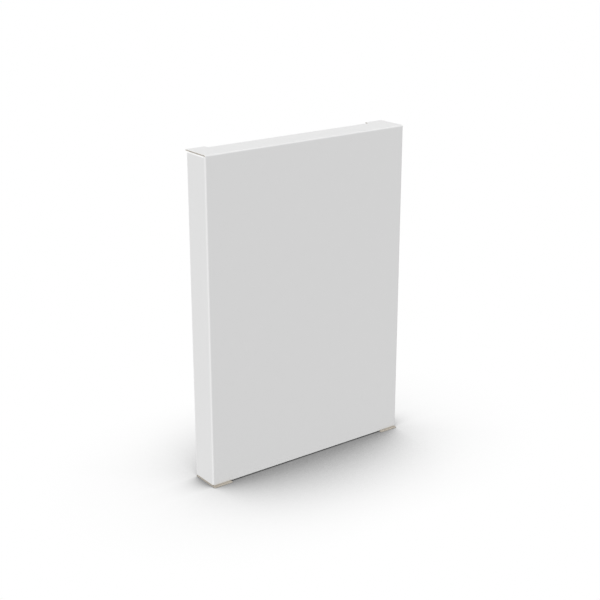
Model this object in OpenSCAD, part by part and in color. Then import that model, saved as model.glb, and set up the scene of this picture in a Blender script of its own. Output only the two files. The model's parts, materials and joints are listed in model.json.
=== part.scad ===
// Folding carton for a board game: a tall, shallow reverse tuck box of coated
// chipboard, closed and standing upright. Four walls, joined by folds and one
// glued seam, make the sleeve. Each end closes with a slit lock: a closure folds
// from one wall over two dust flaps, its tuck flap goes in behind the opposite
// wall, and its two shoulders stay flat over that wall's edge.
// The top closure folds from the front wall and the bottom closure from the rear
// wall, so the bottom end is the top end turned half a turn about X.
// +Z is up and the front wall faces -Y. The origin is on the ground, under the
// middle of the carton.

/* [Carton] */
// Width across the front wall
carton_w = 142; // [100:1:300]
// Depth from the front wall's face to the rear wall's face
carton_d = 18.8; // [17:0.1:60]
// Height over both closures
carton_h = 200; // [80:1:400]

/* [Board] */
// Thickness of the board
board = 0.6; // [0.5:0.1:1.2]
// Inside radius of a fold between two walls, or from a wall to a flap
fold_inner = 0.3; // [0.05:0.05:0.4]
// Gap between two layers of board that lie on each other
layer_gap = 0.05; // [0.02:0.01:0.2]
// Radius where a die-cut edge turns a corner
cut_corner = 0.4; // [0.1:0.1:0.6]

/* [Closures] */
// How far each end of a closure stays in from the side wall's face
closure_inset = 0.2; // [0.2:0.1:3]
// Length of the slit that frees each shoulder, from the side wall's face
slit_l = 13; // [9:0.5:13.5]
// How far a shoulder reaches past the wall that it lies on
shoulder_reach = 1.5; // [0:0.1:2]
// Gap between a closure and the free edge of the wall under it
edge_gap = 0.45; // [0.1:0.05:0.5]

/* [Tuck flaps] */
// Length of a tuck flap from its fold's axis to its free edge
tuck_l = 12.5; // [8:0.5:14]
// Inside radius of the fold between a closure and its tuck flap
tuck_inner = 0.2; // [0.1:0.05:0.5]
// Gap between the fold of a tuck flap and the wall that it goes in behind
tuck_gap = 0.1; // [0.05:0.05:0.5]
// Lean beyond the least angle at which the flap's edge swings clear of that wall
lean_spare = 1; // [0.5:0.5:4]
// Radius of the tuck flap's two free corners
tuck_corner = 8; // [3:0.5:8]
// How far each end of the tuck flap stays in from the slit's end
tuck_end_gap = 0.3; // [0.1:0.1:2]

/* [Dust flaps] */
// Length of a dust flap from the side wall's face to its tip
dust_l = 18; // [14.5:0.5:20]
// Gap between the closure's fold and the flap's tapered edge, at the flap's fold
dust_gap = 0.2; // [0.2:0.1:1.5]
// Turn of a dust flap for each degree that the closure turns
dust_follow = 0.4; // [0.2:0.05:0.45]
// Slope of the tapered edge beyond the least at which it clears the closure
taper_spare = 0.02; // [0.02:0.01:0.1]
// Gap between the end of a dust flap's shoulder and the end of the slit
lock_gap = 0.5; // [0.3:0.1:1.5]
// How far the flap past its shoulder stays in from the tuck wall's face
tuck_relief = 4.5; // [4:0.1:5.5]
// How far the flap's tip stays in from the tuck wall's face
tip_relief = 7; // [6:0.1:8]
// Radius of the tip's two corners, at most half the tip's width
tip_corner = 1; // [0.3:0.1:1.2]

/* [Glued seam] */
// Width of the glue flap from its fold to its free edge
glue_flap_w = 12; // [8:0.5:14]
// Angle at which the glue flap narrows at each end
glue_flap_taper = 20; // [5:1:40]
// Thickness of the line of glue
glue_t = 0.1; // [0.05:0.05:0.2]
// How far the line of glue stays in from the glue flap's edges
glue_margin = 2; // [1:0.5:3]
// How far the right wall's raw edge stays in from the rear wall's face
seam_gap = 0.3; // [0.1:0.1:1]

/* [Hidden] */

coated_white = [0.93, 0.93, 0.92];
crease_white = [0.88, 0.88, 0.86];
glue_amber = [0.85, 0.78, 0.6];
arc_steps = 8;
$fn = 64;

// Faces of the sleeve
half_w = carton_w / 2;
front_y = -carton_d / 2;
rear_y = carton_d / 2;

// A fold is a quarter ring, and each panel starts where its ring ends. The
// fold's axis is where the middles of the two panels would cross.
fold_r = fold_inner + board;
wall_half = half_w - fold_r;

// Levels at the top end, counted down from the top of the closure
free_drop = board + edge_gap;
dust_drop = board + layer_gap;
step_drop = dust_drop + board + layer_gap;
shelf_drop = dust_drop + fold_r;
dust_start = fold_r + dust_gap;

// Radius of the step in a wide wall's free edge, which is lower than two cut corners
step_corner = min(cut_corner, step_drop - free_drop) * 0.4;

// Level of the hinge edge of a wide wall, where its closure's fold starts
hinge_z = carton_h - fold_r;

// The tuck flap leans inwards, so that its free edge clears the wall all the
// way as the closure swings up about its own fold
closure_half = half_w - closure_inset;
tuck_y = rear_y - board - tuck_gap - board / 2;
tuck_reach = tuck_y - (front_y + board / 2);
tuck_lean = asin(tuck_l / (2 * tuck_reach)) + lean_spare;
tuck_bend = 90 + tuck_lean;
tuck_mid_r = tuck_inner + board / 2;
tuck_set = tuck_mid_r * tan(tuck_bend / 2);
slit_x = half_w - slit_l;
tuck_half = slit_x - tuck_end_gap;

// The glue flap lies against the inside of the right wall
glue_flap_x = half_w - board - glue_t;
glue_fold_x = glue_flap_x - fold_r;
glue_fold_y = rear_y - fold_r;

// Points of an arc that rounds the corner p to radius r, between the edges that
// leave it along the unit vectors u and v
function corner_arc(p, r, u, v) =
    let (half = acos(u * v) / 2,
         inward = (u + v) / norm(u + v),
         centre = p + inward * r / sin(half),
         turn = cross(u, v) < 0 ? 90 - half : half - 90,
         aim = atan2(-inward[1], -inward[0]))
    [for (i = [0 : arc_steps])
        centre + r * [cos(aim + turn * (2 * i / arc_steps - 1)), sin(aim + turn * (2 * i / arc_steps - 1))]];

function flat(corner) = [corner[0], corner[1]];

function unit(v) = v / norm(v);

// Outline through corners [x, y, r], each rounded to its own radius r
function rounded(corners) =
    let (count = len(corners))
    [for (i = [0 : count - 1])
        let (here = flat(corners[i]),
             back = unit(flat(corners[(i + count - 1) % count]) - here),
             ahead = unit(flat(corners[(i + 1) % count]) - here))
        each corners[i][2] > 0 ? corner_arc(here, corners[i][2], back, ahead) : [here]];

// Strip of board bent round the Z axis, from the angle start on
module bent_strip(inner, start, bend, length) {
    rotate([0, 0, start])
        rotate_extrude(angle = bend)
            translate([inner, 0])
                square([board, length]);
}

// The same strip along X, where its angles run from +Y to +Z
module strip_along_x(inner, start, bend, half) {
    translate([-half, 0, 0])
        rotate([90, 0, 90])
            bent_strip(inner, start, bend, 2 * half);
}

// The upright fold at a corner of the sleeve, whose inside is at x, y. Its lower
// end is cut back for a dust flap's shoulder, and its upper end is at the level high.
module upright_fold(x, y, start, high) {
    color(crease_white)
        translate([x, y, shelf_drop])
            bent_strip(fold_inner, start, 90, high - shelf_drop);
}

// Turns a piece of the top end into the same piece of the bottom end
module at_bottom() {
    translate([0, 0, carton_h])
        rotate([180, 0, 0])
            children();
}

// Turns a piece at the left end into the same piece at the right end
module at_right() {
    mirror([1, 0, 0])
        children();
}

// A wide wall, folded to the closure at its top. Its lower edge is free, and is
// cut back at both ends for the shoulders of the two dust flaps.
module wide_wall(right_half) {
    color(coated_white)
        translate([0, front_y + board, 0])
            rotate([90, 0, 0])
                linear_extrude(board)
                    polygon(rounded([
                        [-wall_half, step_drop, 0],
                        [-slit_x, step_drop, step_corner],
                        [-slit_x, free_drop, step_corner],
                        [slit_x, free_drop, step_corner],
                        [slit_x, step_drop, step_corner],
                        [right_half, step_drop, 0],
                        [right_half, hinge_z, 0],
                        [-wall_half, hinge_z, 0]]));
}

module front_panel() {
    wide_wall(wall_half);
}

module rear_panel() {
    at_bottom()
        wide_wall(glue_fold_x);
}

// A side wall between its two dust flaps, with outer face at x
module side_wall(x, rear_edge) {
    color(coated_white)
        translate([x, front_y + fold_r, shelf_drop])
            cube([board, rear_edge - (front_y + fold_r), carton_h - 2 * shelf_drop]);
}

module left_panel() {
    side_wall(-half_w, rear_y - fold_r);
}

// The right wall ends in the raw edge of the board, over the glue flap's fold
module right_panel() {
    side_wall(half_w - board, rear_y - seam_gap);
}

module front_left_crease() {
    upright_fold(-wall_half, front_y + fold_r, 180, hinge_z);
}

module front_right_crease() {
    upright_fold(wall_half, front_y + fold_r, 270, hinge_z);
}

module rear_left_crease() {
    at_bottom()
        front_left_crease();
}

module glue_flap_crease() {
    upright_fold(glue_fold_x, glue_fold_y, 0, carton_h - shelf_drop);
}

// Outline of the glue flap in Y and Z, drawn margin inside its edges
module glue_flap_outline(margin) {
    narrowing = (glue_flap_w - margin) * tan(glue_flap_taper);
    low = shelf_drop + margin;
    free_y = glue_fold_y - glue_flap_w + margin;
    polygon(rounded([
        [glue_fold_y - margin, low, 0],
        [glue_fold_y - margin, carton_h - low, 0],
        [free_y, carton_h - low - narrowing, cut_corner],
        [free_y, low + narrowing, cut_corner]]));
}

// Stands a Y and Z outline upright, thickness deep from x on
module upright_plate(x, thickness) {
    translate([x, 0, 0])
        rotate([90, 0, 90])
            linear_extrude(thickness)
                children();
}

module glue_flap() {
    color(coated_white)
        upright_plate(glue_flap_x - board, board)
            glue_flap_outline(0);
}

module glue_line() {
    color(glue_amber)
        upright_plate(glue_flap_x, glue_t)
            glue_flap_outline(glue_margin);
}

// The flat closure. Between the slits it ends at the tuck flap's fold, and past
// them its shoulders run on over the edge of the wall.
module closure() {
    fold_end = tuck_y - tuck_set;
    shoulder_end = rear_y + shoulder_reach;
    color(coated_white)
        translate([0, 0, carton_h - board])
            linear_extrude(board)
                polygon(rounded([
                    [-closure_half, front_y + fold_r, 0],
                    [closure_half, front_y + fold_r, 0],
                    [closure_half, shoulder_end, cut_corner],
                    [slit_x, shoulder_end, cut_corner],
                    [slit_x, fold_end, 0],
                    [-slit_x, fold_end, 0],
                    [-slit_x, shoulder_end, cut_corner],
                    [-closure_half, shoulder_end, cut_corner]]));
}

module closure_crease() {
    color(crease_white)
        translate([0, front_y + fold_r, hinge_z])
            strip_along_x(fold_inner, 90, 90, closure_half);
}

// The tuck flap hangs from its fold and leans towards the hinge wall
module tuck_flap() {
    color(coated_white)
        translate([0, tuck_y, carton_h - board / 2])
            rotate([90 - tuck_lean, 0, 0])
                translate([0, 0, -board / 2])
                    linear_extrude(board)
                        polygon(rounded([
                            [-tuck_half, -tuck_set, 0],
                            [-tuck_half, -tuck_l, tuck_corner],
                            [tuck_half, -tuck_l, tuck_corner],
                            [tuck_half, -tuck_set, 0]]));
}

module tuck_crease() {
    color(crease_white)
        translate([0, tuck_y - tuck_set, carton_h - board / 2 - tuck_mid_r])
            strip_along_x(tuck_inner, -tuck_lean, tuck_bend, slit_x);
}

// The left dust flap. Its shoulder fills the depth of the carton as far as the
// slit, one edge tapers to clear the closure, and the tip stays off the tuck flap.
module dust_flap() {
    tip_y = dust_start + (dust_follow + taper_spare) * (dust_l - fold_r);
    tip_end_y = carton_d - tip_relief;
    tip_r = min(tip_corner, (tip_end_y - tip_y) / 2);
    shoulder_x = slit_l - lock_gap;
    color(coated_white)
        translate([-half_w, front_y, carton_h - dust_drop - board])
            linear_extrude(board)
                polygon(rounded([
                    [fold_r, dust_start, 0],
                    [dust_l, tip_y, tip_r],
                    [dust_l, tip_end_y, tip_r],
                    [shoulder_x, carton_d - tuck_relief, cut_corner],
                    [shoulder_x, carton_d, cut_corner],
                    [fold_r, carton_d, 0]]));
}

module dust_crease() {
    color(crease_white)
        translate([-wall_half, rear_y - fold_r, carton_h - shelf_drop])
            rotate([90, 0, 0])
                bent_strip(fold_inner, 90, 90, carton_d - fold_r - dust_start);
}

front_panel();
rear_panel();
left_panel();
right_panel();
front_left_crease();
front_right_crease();
rear_left_crease();
glue_flap_crease();
glue_flap();
glue_line();
closure();  // top_closure
closure_crease();  // top_closure_crease
tuck_flap();  // top_tuck_flap
tuck_crease();  // top_tuck_crease
dust_flap();  // top_dust_flap_left
dust_crease();  // top_dust_crease_left
at_right() dust_flap();  // top_dust_flap_right
at_right() dust_crease();  // top_dust_crease_right
at_bottom() closure();  // bottom_closure
at_bottom() closure_crease();  // bottom_closure_crease
at_bottom() tuck_flap();  // bottom_tuck_flap
at_bottom() tuck_crease();  // bottom_tuck_crease
at_bottom() dust_flap();  // bottom_dust_flap_left
at_bottom() dust_crease();  // bottom_dust_crease_left
at_bottom() at_right() dust_flap();  // bottom_dust_flap_right
at_bottom() at_right() dust_crease();  // bottom_dust_crease_right
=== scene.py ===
import json
import bpy
import numpy as np
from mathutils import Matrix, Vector


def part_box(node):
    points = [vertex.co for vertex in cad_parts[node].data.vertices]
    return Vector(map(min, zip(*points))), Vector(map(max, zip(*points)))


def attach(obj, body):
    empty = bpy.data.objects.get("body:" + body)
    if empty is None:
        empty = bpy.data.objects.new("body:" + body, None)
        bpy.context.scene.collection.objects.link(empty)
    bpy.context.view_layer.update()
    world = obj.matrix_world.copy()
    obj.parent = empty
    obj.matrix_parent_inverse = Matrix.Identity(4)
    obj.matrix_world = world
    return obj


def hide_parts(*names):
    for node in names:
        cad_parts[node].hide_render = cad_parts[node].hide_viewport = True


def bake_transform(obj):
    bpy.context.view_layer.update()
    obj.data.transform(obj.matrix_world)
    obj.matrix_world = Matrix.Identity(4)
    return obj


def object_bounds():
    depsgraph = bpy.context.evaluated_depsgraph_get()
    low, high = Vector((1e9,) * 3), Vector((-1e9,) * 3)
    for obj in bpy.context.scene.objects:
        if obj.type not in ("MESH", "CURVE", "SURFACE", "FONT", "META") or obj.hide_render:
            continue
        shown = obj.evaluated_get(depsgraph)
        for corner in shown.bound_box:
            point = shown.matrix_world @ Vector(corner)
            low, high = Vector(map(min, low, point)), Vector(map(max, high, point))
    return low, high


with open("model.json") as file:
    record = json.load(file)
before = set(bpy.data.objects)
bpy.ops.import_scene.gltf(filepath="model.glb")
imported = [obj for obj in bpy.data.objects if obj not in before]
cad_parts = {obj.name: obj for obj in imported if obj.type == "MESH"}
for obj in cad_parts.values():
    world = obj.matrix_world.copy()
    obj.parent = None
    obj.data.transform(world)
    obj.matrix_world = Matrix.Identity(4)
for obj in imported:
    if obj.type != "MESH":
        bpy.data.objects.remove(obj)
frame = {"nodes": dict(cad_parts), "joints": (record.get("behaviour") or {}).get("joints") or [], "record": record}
cad_low, cad_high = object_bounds()

# The front wall is the widest panel of one die-cut sheet of chipboard, coated white on
# its outside and left raw and grey-brown inside. Folds join it to both side walls and
# to the lid. Its lower edge is free, and steps up at both ends for the dust flaps.

# Sizes are in millimetres from here on, and meshes and node settings are in metres.
mm = 0.001
(wall_left, wall_face, wall_low), (wall_right, wall_back, wall_high) = np.array(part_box("front_panel")) / mm
board = wall_back - wall_face
carton_h = cad_high.z / mm
layer_gap = 0.05
step_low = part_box("bottom_dust_flap_left")[1].z / mm + layer_gap
slit_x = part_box("top_tuck_crease")[1].x / mm
cut_corner = 0.4

# A step's two corners share its height, and each is rounded to 0.4 of it.
step_corner = 0.4 * (step_low - wall_low)

# The knife drags the coat a little way over the edge that it cuts, so the outer arris is
# rolled and the inner one is almost sharp. A cut edge is a little paler than the raw back.
outer_arris, inner_arris = 0.12, 0.04
cut_edge_pale = 0.08


def arris(size, steps):
    """A square corner of the board rounded off over size, as the parabola that touches both
    of its sides there. Returns points (in from the cut edge, in from the face)."""
    run = np.linspace(0, 1, steps)[:, None]
    return size * np.hstack([(1 - run) ** 2, run ** 2])


knife_cut = np.concatenate([arris(outer_arris, 5), (0, board) + arris(inner_arris, 3)[::-1] * (1, -1)])


class Wire:
    """An output of a shader node. Arithmetic on it adds Math nodes to its tree."""

    def __init__(self, tree, socket=None):
        self.tree, self.socket = tree, socket

    def node(self, kind, settings=None, sockets=None, out=0):
        """Adds a node: its type, then its settings, then the values or wires of its sockets.
        Returns a wire from the output named or numbered out."""
        made = self.tree.nodes.new("ShaderNode" + kind)
        for name, value in (settings or {}).items():
            setattr(made, name, value)
        for key, value in (sockets or {}).items():
            if isinstance(value, Wire):
                self.tree.links.new(value.socket, made.inputs[key])
            else:
                made.inputs[key].default_value = value
        return Wire(self.tree, made.outputs[out] if made.outputs else None)

    def math(self, operation, first, second):
        return self.node("Math", {"operation": operation}, {0: first, 1: second})

    def __add__(self, other):
        return self.math("ADD", self, other)

    def __sub__(self, other):
        return self.math("SUBTRACT", self, other)

    def __rsub__(self, other):
        return self.math("SUBTRACT", other, self)

    def __mul__(self, other):
        return self.math("MULTIPLY", self, other)

    def __pow__(self, other):
        return self.math("POWER", self, other)

    __radd__ = __add__
    __rmul__ = __mul__

    def at_least(self, other):
        """The larger of this and other."""
        return self.math("MAXIMUM", self, other)

    def between(self, low, high):
        """0 below low, 1 above high, and a soft S from one to the other."""
        return self.node("MapRange", {"interpolation_type": "SMOOTHSTEP"},
                         {"Value": self, "From Min": low, "From Max": high})

    def mixed(self, first, second):
        """The colour first where this is 0, and second where it is 1."""
        return self.node("Mix", {"data_type": "RGBA"}, {0: self, 6: first, 7: second}, out=2)


def new_material(name):
    """An empty node material, and a wire to start its nodes from."""
    material = bpy.data.materials.new(name)
    material.use_nodes = True
    material.node_tree.nodes.clear()
    return material, Wire(material.node_tree)


def grey(level):
    """A colour with no hue."""
    return level, level, level, 1


def chipboard(name, painted_highlight=1.0, fold=False):
    """White coated chipboard. through says how deep in the board a point lies, from 0 on
    the coat to 1 on the raw back: a thin white coat, then grey-brown plies of pulp. pale
    is how much of a pale white the pulp takes on: a little where it is cut, more on the
    folds' pulp and on the dust flaps' cut edges, which is painted light where these stand
    in shade. rest is where a point lies with the carton shut, so that the patterns go with
    a flap that opens. The second argument scales the coat's white, a painted highlight on
    folds, and fold adds cracks."""
    dark_fibre, light_fibre = (0.455, 0.414, 0.357, 1), (0.637, 0.59, 0.521, 1)
    dark_fleck, pale_pulp = (0.33, 0.29, 0.25, 1), (1, 0.97, 0.9, 1)
    material, start = new_material(name)
    through = start.node("Attribute", {"attribute_name": "through"}, out="Fac")
    pale = start.node("Attribute", {"attribute_name": "pale"}, out="Fac")
    place = start.node("Attribute", {"attribute_name": "rest"}, out="Vector")

    # The coat has a faint cloudiness and a fine tooth.
    cloud = start.node("TexNoise", {}, {"Vector": place, "Scale": 110.0, "Detail": 3.0})
    tooth = start.node("TexNoise", {}, {"Vector": place, "Scale": 2400.0, "Detail": 2.0})
    # The coat's white is scaled up on folds, a painted highlight.
    coat = cloud.mixed(grey(0.866 * painted_highlight), grey(0.878 * painted_highlight))

    # The pulp lies in plies, with tangled fibres in them and a few dark flecks.
    pulp = start.node("TexNoise", {}, {"Vector": place, "Scale": 900.0, "Detail": 5.0,
                                       "Roughness": 0.65, "Distortion": 1.2})
    fleck = start.node("TexVoronoi", {"feature": "F1"}, {"Vector": place, "Scale": 620.0}, out="Distance")
    layer = through * 9.0 + pulp * 0.8
    ply = start.node("TexNoise", {"noise_dimensions": "1D"}, {"W": layer, "Scale": 1.0})
    fibres = (pulp + ply * 0.45 - 0.45).between(0.1, 0.95)
    raw = fibres.mixed(dark_fibre, light_fibre)
    raw = fleck.between(0.09, 0.2).mixed(dark_fleck, raw)
    # Cut edges take on a little of the pale pulp colour. The dust flaps' edges and the folds' pulp take on more,
    # as painted light where they stand in shade.
    raw = pale.mixed(raw, pale_pulp)

    # The coat is about a tenth of the board's thickness.
    below_coat = through.between(0.07, 0.13)
    colour = below_coat.mixed(coat, raw)
    height = tooth * 0.25 * (1 - below_coat) + (pulp + fibres * 0.5) * below_coat
    rough = 0.48 + tooth * 0.1 + below_coat * 0.4
    if fold:
        # Fine cracks in the coat run along the fold.
        sheet = start.node("UVMap", {"uv_map": "sheet"})
        drawn = start.node("Mapping", {}, {"Vector": sheet, "Scale": (160.0, 5200.0, 1.0)})
        streak = start.node("TexNoise", {}, {"Vector": drawn, "Scale": 1.0, "Detail": 3.0})
        crack = streak.between(0.62, 0.74) * (1 - below_coat)
        height = height - crack * 0.5
        rough = rough + crack * 0.15
    bump = start.node("Bump", {}, {"Strength": 0.35, "Distance": 0.00004, "Height": height})
    shader = start.node("BsdfPrincipled", {}, {"Base Color": colour, "Roughness": rough, "Normal": bump,
                                               "Specular IOR Level": 0.25})
    start.node("OutputMaterial", {}, {"Surface": shader})
    return material


flat_board = chipboard("coated_chipboard")


def unit(rows):
    """Each row's direction, as a vector of length 1."""
    return rows / np.linalg.norm(rows, axis=1)[:, None]


def rounded(corners, steps=7):
    """Outline through corners [x, y, radius, cut]. Each rounded corner is an arc that
    touches both of its sides, as points at even angles about its centre. cut is 1 where
    the side after a corner is cut by the knife, and 0 where the board folds on. Returns
    the points, and the cut of the side after each."""
    corners = np.array(corners, float)
    here, radius, cut = corners[:, :2], corners[:, 2], corners[:, 3]
    back, ahead = unit(np.roll(here, 1, 0) - here), unit(np.roll(here, -1, 0) - here)
    half = np.arccos(np.clip((back * ahead).sum(1), -1, 1)) / 2
    inward = unit(back + ahead)
    centre = here + inward * (radius / np.sin(half))[:, None]
    # At a corner that turns inwards, as at a slit, the arc bends the other way.
    bend = np.where(back[:, 0] * ahead[:, 1] < back[:, 1] * ahead[:, 0], 1, -1) * (np.pi / 2 - half)
    angle = np.arctan2(-inward[:, 1], -inward[:, 0])[:, None] + bend[:, None] * np.linspace(-1, 1, steps)
    points = centre[:, None] + radius[:, None, None] * np.stack([np.cos(angle), np.sin(angle)], -1)
    cut_after = np.ones((len(corners), steps))
    cut_after[:, -1] = cut
    cut_after[radius == 0, 0] = cut[radius == 0]
    kept = (radius[:, None] > 0) | (np.arange(steps) == 0)
    return points[kept], cut_after[kept]


def panel(corners, cut_pale=cut_edge_pale):
    """A flat piece of board. The knife's profile is carried round the outline, each point
    of it drawn in from the two sides that meet there, and both faces close it. Returns
    points (x, y, depth) and their skin: faces, through, which is a point's depth over the
    board's thickness, and pale, which is cut_pale on the edges and 0 on both faces."""
    points, cut = rounded(corners)
    side = np.roll(points, -1, 0) - points
    outward = unit(np.stack([side[:, 1], -side[:, 0]], 1))
    both = np.stack([np.roll(outward, 1, 0), outward], 1)
    drawn_in = np.linalg.solve(both, -np.stack([np.roll(cut, 1), cut], 1)[..., None])[..., 0]
    inset, depth = knife_cut.T
    flat = points[:, None] + drawn_in[:, None] * inset[None, :, None]
    count, rows = flat.shape[:2]
    deep = np.broadcast_to(depth[None, :, None], (count, rows, 1))
    shell = np.concatenate([flat, deep], -1).reshape(-1, 3)
    here = np.arange(count * rows).reshape(count, rows)
    after = np.roll(here, -1, 0)
    edge = np.stack([here[:, :-1], here[:, 1:], after[:, 1:], after[:, :-1]], -1).reshape(-1, 4)
    faces = edge.tolist() + [here[:, 0].tolist(), here[::-1, -1].tolist()]
    pale = np.append(np.full(len(edge), cut_pale), [0, 0])
    return shell, {"faces": faces, "through": shell[:, 2] / board, "pale": pale}


def stood(shell, origin, along, up, inward):
    """Stands a flat shell up: x goes along, y goes up, and depth goes into the carton."""
    return np.array(origin) + shell @ np.array([along, up, inward], float)


def to_end(points, end, side="left"):
    """A piece of the top end, at either end and side. The bottom end is the top end turned
    half a turn about the carton's own X axis, and the right side mirrors the left."""
    points = points * [1 if side == "left" else -1, 1, 1]
    return points if end == "top" else points * [1, -1, -1] + [0, 0, carton_h]


def make_piece(name, points, skin, material, mirrored=False):
    """A mesh in metres that stands for the CAD node of the same name. Its attributes are
    its skin's through and pale, and rest, where each point is at rest. A fold has its
    place on the flat sheet as a UV map. mirrored turns the faces of mirrored points about."""
    faces = [face[::-1] for face in skin["faces"]] if mirrored else skin["faces"]
    mesh = bpy.data.meshes.new(name + "_board")
    mesh.from_pydata((points * mm).tolist(), [], faces)

    def mark(label, kind, domain, values, key="value"):
        mesh.attributes.new(label, kind, domain).data.foreach_set(key, values.astype(np.float32).ravel())

    mark("through", "FLOAT", "POINT", skin["through"])
    mark("rest", "FLOAT_VECTOR", "POINT", points * mm, "vector")
    mark("pale", "FLOAT", "FACE", skin["pale"])
    if "sheet" in skin:
        corner = np.zeros(len(mesh.loops), np.int32)
        mesh.loops.foreach_get("vertex_index", corner)
        unrolled = (skin["sheet"] * mm)[corner].astype(np.float32)
        mesh.uv_layers.new(name="sheet").data.foreach_set("uv", unrolled.ravel())
    mesh.materials.append(material)
    piece = bpy.data.objects.new(name + "_board", mesh)
    bpy.context.scene.collection.objects.link(piece)
    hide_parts(name)
    return piece


def wide_wall(right):
    """A wide wall from its left fold to right, with its free edge down and its hinge up."""
    shell, skin = panel([
        [wall_left, step_low, 0, 1], [-slit_x, step_low, step_corner, 1],
        [-slit_x, wall_low, step_corner, 1], [slit_x, wall_low, step_corner, 1],
        [slit_x, step_low, step_corner, 1], [right, step_low, 0, 0],
        [right, wall_high, 0, 0], [wall_left, wall_high, 0, 0]])
    return stood(shell, (0, wall_face, 0), (1, 0, 0), (0, 0, 1), (0, 1, 0)), skin


upright, skin = wide_wall(wall_right)
front_wall = make_piece("front_panel", upright, skin, flat_board)
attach(front_wall, "sleeve")

# The rear wall is the front wall turned end over end, with the bottom closure folded from
# its lower edge. It is narrower by the glue flap's fold, which starts at its right edge.

glue_fold_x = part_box("rear_panel")[1].x / mm
upright, skin = wide_wall(glue_fold_x)
rear_wall = make_piece("rear_panel", to_end(upright, "bottom"), skin, flat_board)
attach(rear_wall, "sleeve")

# The two side walls are narrow panels of the same sheet. The left one is folded on both
# long edges. The right one ends at the rear in a raw cut edge, glued over the glue flap.

(side_x, side_front, side_low), (_, side_rear, side_high) = np.array(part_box("left_panel")) / mm
raw_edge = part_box("right_panel")[1].y / mm


def side_wall(near, far, far_cut):
    """A side wall, flat, from its edge at near to the one at far, which may be a cut edge."""
    return panel([[near, side_low, 0, 0], [far, side_low, 0, far_cut],
                  [far, side_high, 0, 0], [near, side_high, 0, 0]])


shell, skin = side_wall(-side_rear, -side_front, 0)
upright = stood(shell, (side_x, 0, 0), (0, -1, 0), (0, 0, 1), (1, 0, 0))
left_wall = make_piece("left_panel", upright, skin, flat_board)
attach(left_wall, "sleeve")

shell, skin = side_wall(side_front, raw_edge, 1)
upright = stood(shell, (-side_x, 0, 0), (0, 1, 0), (0, 0, 1), (-1, 0, 0))
right_wall = make_piece("right_panel", upright, skin, flat_board)
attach(right_wall, "sleeve")

# Four upright folds turn one panel into the next. Each is pressed with a creasing rule and
# then bent, so its outside is a narrow round and its inside is almost a sharp corner.

# Their coat is painted a little whiter than the flat board, a painted highlight along the folds.
creased_board = chipboard("creased_chipboard", painted_highlight=1.03, fold=True)
fold_inner = 0.3
fold_r = fold_inner + board
# A fold's pulp is paler than the raw back. On the bottom dust folds, where the coat has worn off and the fold
# turns down into shade, this is painted light.
fold_pale_and_painted_light = 0.45


def folded(inner, bend, length, worn=0.0, steps=33):
    """A strip of board bent round a straight line through the angle bend. Its section, the
    outer arc out and the inner arc back, is carried along the line, and at both cut ends
    the outer arc sinks by the knife's arris. worn is how much of the coat has gone. Returns
    points (across, up, along), with the bend starting on the across axis, and their skin,
    whose sheet is the place (along, across) of each point on the unbent strip."""
    run, sunk = arris(outer_arris, 5)[::-1].T
    along = np.concatenate([run, length - run[::-1]])
    sunk = np.concatenate([sunk, sunk[::-1]])
    angle = np.radians(np.linspace(0, bend, steps))
    angle = np.concatenate([angle, angle[::-1]])
    outer = np.arange(2 * steps) < steps
    depth = np.where(outer[None], sunk[:, None], board)
    reach = inner + board - depth
    line = np.broadcast_to(along[:, None], reach.shape)
    points = np.stack([reach * np.cos(angle), reach * np.sin(angle), line], -1)
    sheet = np.stack([line, np.broadcast_to(angle * (inner + board), reach.shape)], -1)
    here = np.arange(reach.size).reshape(reach.shape)
    after = np.roll(here, -1, 1)
    bent = np.stack([here[:-1], after[:-1], after[1:], here[1:]], -1).reshape(-1, 4)
    step = np.arange(steps - 1)
    end = np.stack([step, step + 1, 2 * steps - 2 - step, 2 * steps - 1 - step], -1)
    faces = bent.tolist() + end[:, ::-1].tolist() + (end + here[-1, 0]).tolist()
    through = worn + (1 - worn) * (depth.ravel() / board)
    # Bent faces take the fold's pale pulp, painted light on the worn bottom dust folds. The ends take the cut
    # edges' pale.
    pale = np.repeat([fold_pale_and_painted_light, cut_edge_pale], [len(bent), 2 * len(end)])
    return points.reshape(-1, 3), {"faces": faces, "through": through, "pale": pale,
                                   "sheet": sheet.reshape(-1, 2)}


def upright_fold(name, x, y, start):
    """A fold that stands at a corner of the sleeve, its inside at x, y, bent from start on."""
    low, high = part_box(name)[0].z / mm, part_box(name)[1].z / mm
    shell, skin = folded(fold_inner, 90, high - low)
    turn = np.radians(start)
    across = (np.cos(turn), np.sin(turn), 0)
    upright = stood(shell, (x, y, low), across, (-across[1], across[0], 0), (0, 0, 1))
    piece = make_piece(name, upright, skin, creased_board)
    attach(piece, "sleeve")


upright_fold("front_left_crease", wall_left, side_front, 180)
upright_fold("front_right_crease", wall_right, side_front, 270)
upright_fold("rear_left_crease", wall_left, side_rear, 90)
upright_fold("glue_flap_crease", glue_fold_x, side_rear, 0)

# The glue flap runs down the inside of the right wall, narrowing at both ends, and holds
# the sleeve together. Its coated face is stuck down with one line of white glue, which
# has dried to a clear amber film.

(_, flap_free, flap_low), (glued_x, flap_fold, flap_high) = np.array(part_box("glue_flap")) / mm
taper_angle = 20
taper = np.tan(np.radians(taper_angle)) * (flap_fold - flap_free)
shell, skin = panel([[flap_free, flap_low + taper, cut_corner, 1], [flap_fold, flap_low, 0, 0],
                     [flap_fold, flap_high, 0, 1], [flap_free, flap_high - taper, cut_corner, 1]])
upright = stood(shell, (glued_x, 0, 0), (0, 1, 0), (0, 0, 1), (-1, 0, 0))
glue_flap = make_piece("glue_flap", upright, skin, flat_board)
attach(glue_flap, "sleeve")

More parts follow.
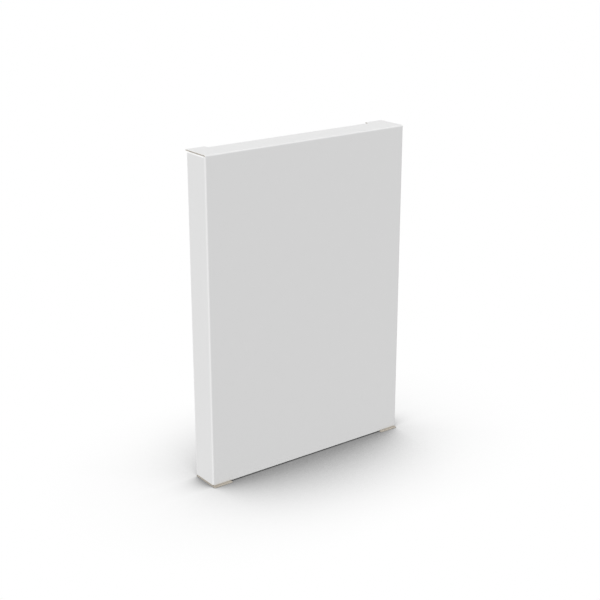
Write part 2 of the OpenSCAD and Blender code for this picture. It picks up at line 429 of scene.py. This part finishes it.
thick_glue, thin_glue = (0.72, 0.6, 0.38, 1), (0.86, 0.8, 0.64, 1)
dried_glue, start = new_material("dried_glue")
place = start.node("TexCoord", out="Object")
drag = start.node("Mapping", {}, {"Vector": place, "Scale": (1.0, 4.0, 0.3)})
streak = start.node("TexNoise", {}, {"Vector": drag, "Scale": 260.0, "Detail": 4.0})
ridge = start.node("Bump", {}, {"Strength": 0.5, "Distance": 0.00008, "Height": streak})
shader = start.node("BsdfPrincipled", {}, {"Base Color": streak.mixed(thick_glue, thin_glue),
                                           "Roughness": 0.3 + streak * 0.2, "Normal": ridge})
start.node("OutputMaterial", {}, {"Surface": shader})
frame["nodes"]["glue_line"].data.materials.clear()
frame["nodes"]["glue_line"].data.materials.append(dried_glue)

# Each end shuts with a closure that folds from a wide wall, from the front one at the top
# and from the rear one at the bottom. Two slits part its middle from two shoulders, which
# run on over the far wall's edge and keep the end square.

(_, hinge_y, _), (closure_x, shoulder_y, _) = np.array(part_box("top_closure")) / mm
tuck_fold_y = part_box("top_tuck_crease")[0].y / mm


def flexed(piece, across):
    """Lays a fold flat, each point at its place across the fold, bakes the object's
    transform into it there, and then folds it up again."""
    folded_up = np.zeros(len(across) * 3, np.float32)
    piece.data.vertices.foreach_get("co", folded_up)
    flat = np.zeros((len(across), 3), np.float32)
    flat[:, 0] = across * mm
    piece.data.vertices.foreach_set("co", flat.ravel())
    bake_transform(piece)
    piece.data.vertices.foreach_set("co", folded_up)
    piece.data.update()


for end in ("top", "bottom"):
    shell, skin = panel([
        [-closure_x, hinge_y, 0, 0], [closure_x, hinge_y, 0, 1],
        [closure_x, shoulder_y, cut_corner, 1], [slit_x, shoulder_y, cut_corner, 1],
        [slit_x, tuck_fold_y, 0, 0], [-slit_x, tuck_fold_y, 0, 1],
        [-slit_x, shoulder_y, cut_corner, 1], [-closure_x, shoulder_y, cut_corner, 1]])
    lying = stood(shell, (0, 0, carton_h), (1, 0, 0), (0, 1, 0), (0, 0, -1))
    closure = make_piece(end + "_closure", to_end(lying, end), skin, flat_board)
    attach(closure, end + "_closure")

    shell, skin = folded(fold_inner, 90, 2 * closure_x)
    lying = stood(shell, (closure_x, hinge_y, carton_h - fold_r), (0, -1, 0), (0, 0, 1), (-1, 0, 0))
    hinge_fold = make_piece(end + "_closure_crease", to_end(lying, end), skin, creased_board)
    flexed(hinge_fold, skin["sheet"][:, 1])

# The tuck flap folds down from the middle of each closure and goes in behind the far wall.
# Its fold is a little wider than the others, and its free corners are cut to a large
# radius, so that it finds its way in. It leans inwards from its fold.

tuck_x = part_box("top_tuck_flap")[1].x / mm
tuck_hinge = next(joint for joint in frame["joints"] if joint["name"] == "top_tuck_hinge")
_, tuck_y, tuck_z = np.array(tuck_hinge["pos_m"]) / mm
tuck_length, tuck_corner, tuck_inner = 12.5, 8, 0.2
tuck_start = tuck_y - tuck_fold_y
tuck_fold_z = carton_h - board - tuck_inner

# As the closure swings, the flap's free edge clears the far wall if the sine of its lean
# is at least the flap's length over twice the distance between the two folds.
lean_spare = 1
reach = tuck_y - wall_face - board / 2
lean = np.degrees(np.arcsin(tuck_length / (2 * reach))) + lean_spare
slope = np.radians(90 - lean)
down = (0, -np.cos(slope), -np.sin(slope))
inward = np.array([0, -np.sin(slope), np.cos(slope)])

for end in ("top", "bottom"):
    shell, skin = panel([[-tuck_x, tuck_start, 0, 0], [tuck_x, tuck_start, 0, 1],
                         [tuck_x, tuck_length, tuck_corner, 1], [-tuck_x, tuck_length, tuck_corner, 1]])
    hanging = stood(shell, np.array([0, tuck_y, tuck_z]) - inward * board / 2, (1, 0, 0), down, inward)
    tuck_flap = make_piece(end + "_tuck_flap", to_end(hanging, end), skin, flat_board)
    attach(tuck_flap, end + "_tuck")

    shell, skin = folded(tuck_inner, 90 + lean, 2 * slit_x)
    lying = stood(shell, (-slit_x, tuck_fold_y, tuck_fold_z), (0, 0, 1), (0, 1, 0), (1, 0, 0))
    tuck_fold = make_piece(end + "_tuck_crease", to_end(lying, end), skin, creased_board,
                           mirrored=True)
    flexed(tuck_fold, skin["sheet"][:, 1])

# Two dust flaps fold in from the side walls under each closure, before it shuts. Each has
# a square shoulder that fits the carton's depth and stops against the slit, one slanting
# edge that clears the closure, and a blunt tip.

dust_tip, _, dust_top = np.array(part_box("top_dust_flap_left")[1]) / mm - (side_x, 0, 0)
dust_fold_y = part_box("top_dust_crease_left")[0].y / mm
dust_start = dust_fold_y - wall_face
carton_d = -2 * wall_face
lock_gap, tuck_relief, tip_relief, tip_corner = 0.5, 4.5, 7, 1
shoulder_x = -slit_x - side_x - lock_gap
# The dust flaps' cut edges are painted paler than other cut edges, painted light on edges that stand in shade
# under the wide walls' stepped edges.
dust_edge_painted_light = 0.38

# A dust flap turns at a fixed ratio to its closure, and the slope of its slanting edge is
# a little more than that ratio, so that the two stay clear.
dust_follow = frame["record"]["behaviour"]["couplings"][0]["ratio"]
taper_spare = 0.02
tip_y = dust_start + (dust_follow + taper_spare) * (dust_tip - fold_r)

# The dust flaps' folds have the whitest coat, a painted highlight along the side walls' top and
# bottom edges. On the bottom ones, at the carton's lower corners, some of the coat has worn off.
highlit_fold = chipboard("tight_fold_chipboard", painted_highlight=1.135, fold=True)
fold_wear = {"top": 0.0, "bottom": 0.3}

for end in ("top", "bottom"):
    for side in ("left", "right"):
        shell, skin = panel([
            [fold_r, dust_start, 0, 1], [dust_tip, tip_y, tip_corner, 1],
            [dust_tip, carton_d - tip_relief, tip_corner, 1],
            [shoulder_x, carton_d - tuck_relief, cut_corner, 1],
            [shoulder_x, carton_d, cut_corner, 1], [fold_r, carton_d, 0, 0]], dust_edge_painted_light)
        lying = stood(shell, (side_x, wall_face, dust_top), (1, 0, 0), (0, 1, 0), (0, 0, -1))
        mirrored = side == "right"
        dust_flap = make_piece(end + "_dust_flap_" + side, to_end(lying, end, side), skin, flat_board,
                               mirrored)
        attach(dust_flap, end + "_dust_" + side)

        shell, skin = folded(fold_inner, 90, side_rear - dust_fold_y, fold_wear[end])
        lying = stood(shell, (wall_left, dust_fold_y, side_high), (-1, 0, 0), (0, 0, 1), (0, 1, 0))
        dust_fold = make_piece(end + "_dust_crease_" + side, to_end(lying, end, side), skin, highlit_fold,
                               mirrored)
        flexed(dust_fold, skin["sheet"][:, 1])

# The carton stands on a plain white table in an even white studio. What shows of the table
# is white but for the soft shade that the carton casts round its own foot. The table
# throws back the studio's even light, but for what the carton keeps off it.

table_half, table_drop = 4000, 0.04
corners = np.array([[-1, -1, 0], [1, -1, 0], [1, 1, 0], [-1, 1, 0]]) * table_half - [0, 0, table_drop]
table = bpy.data.objects.new("table", bpy.data.meshes.new("table"))
table.data.from_pydata((corners * mm).tolist(), [], [(0, 1, 2, 3)])
bpy.context.scene.collection.objects.link(table)


def seen(start):
    """1 for what shows, straight, in gloss or through glass, and 0 for what only gives light."""
    rays = [start.node("LightPath", out=f"Is {ray} Ray") for ray in ("Camera", "Glossy", "Transmission")]
    return rays[0].at_least(rays[1]).at_least(rays[2])


# The shade goes as a power of how much of the sky the carton hides, down to the level of
# its foot, which is darkest in the crevice under the carton's edge.
even_light = 0.506
shade_depth, shade_curve = 2.297, 1.621
crevice, foot_shade = 0.02, 0.25
white_table, start = new_material("white_table")
open_sky = start.node("AmbientOcclusion", {"samples": 16}, {"Distance": 0.1}, out="AO")
near_sky = start.node("AmbientOcclusion", {"samples": 8}, {"Distance": 0.004}, out="AO")
foot = crevice + (foot_shade - crevice) * near_sky.between(0.25, 0.45)
shade = (1 - shade_depth * (1 - open_sky) ** shade_curve).at_least(foot)
lit = start.node("Emission", {}, {"Color": shade, "Strength": 1.0})
under = start.node("Emission", {}, {"Color": near_sky.between(0.0, 0.45) * even_light, "Strength": 1.0})
surface = start.node("MixShader", {}, {0: seen(start), 1: under, 2: lit})
start.node("OutputMaterial", {}, {"Surface": surface})
table.data.materials.append(white_table)

# The studio is a wide, even white surround, with one large soft lamp high at the front left.
# The surround looks fully white, and lights the carton with about half of that.

surround = bpy.data.worlds.new("surround")
surround.use_nodes = True
surround.node_tree.nodes.clear()
bpy.context.scene.world = surround
start = Wire(surround.node_tree)
strength = even_light + seen(start) * (1 - even_light)
backdrop = start.node("Background", {}, {"Color": grey(1), "Strength": strength})
start.node("OutputWorld", {}, {"Surface": backdrop})

lamp = bpy.data.objects.new("lamp", bpy.data.lights.new("lamp", "SUN"))
lamp.data.energy = 1.785
lamp.data.angle = 0.6
to_lamp = np.array([-0.597, -0.398, 0.695])
lamp.rotation_mode = "QUATERNION"
lamp.rotation_quaternion = Vector(to_lamp).to_track_quat("Z", "Y")
bpy.context.scene.collection.objects.link(lamp)

# The camera stands at the front left, a little above the carton, with a fairly long lens
# that keeps the upright edges almost parallel.

camera = bpy.data.objects.new("camera", bpy.data.cameras.new("camera"))
azimuth, elevation, distance = np.radians(-36.783), np.radians(19.149), 747.4
aim = np.array([0.139, 0, 100.229])
level = np.cos(elevation)
back = np.array([np.sin(azimuth) * level, -np.cos(azimuth) * level, np.sin(elevation)])
camera.location = (aim + back * distance) * mm
camera.rotation_mode = "QUATERNION"
camera.rotation_quaternion = Vector(-back).to_track_quat("-Z", "Y")
camera.data.sensor_width = 36
camera.data.lens = 74.274
bpy.context.scene.collection.objects.link(camera)
bpy.context.scene.camera = camera
bpy.context.scene.view_settings.view_transform = "Standard"
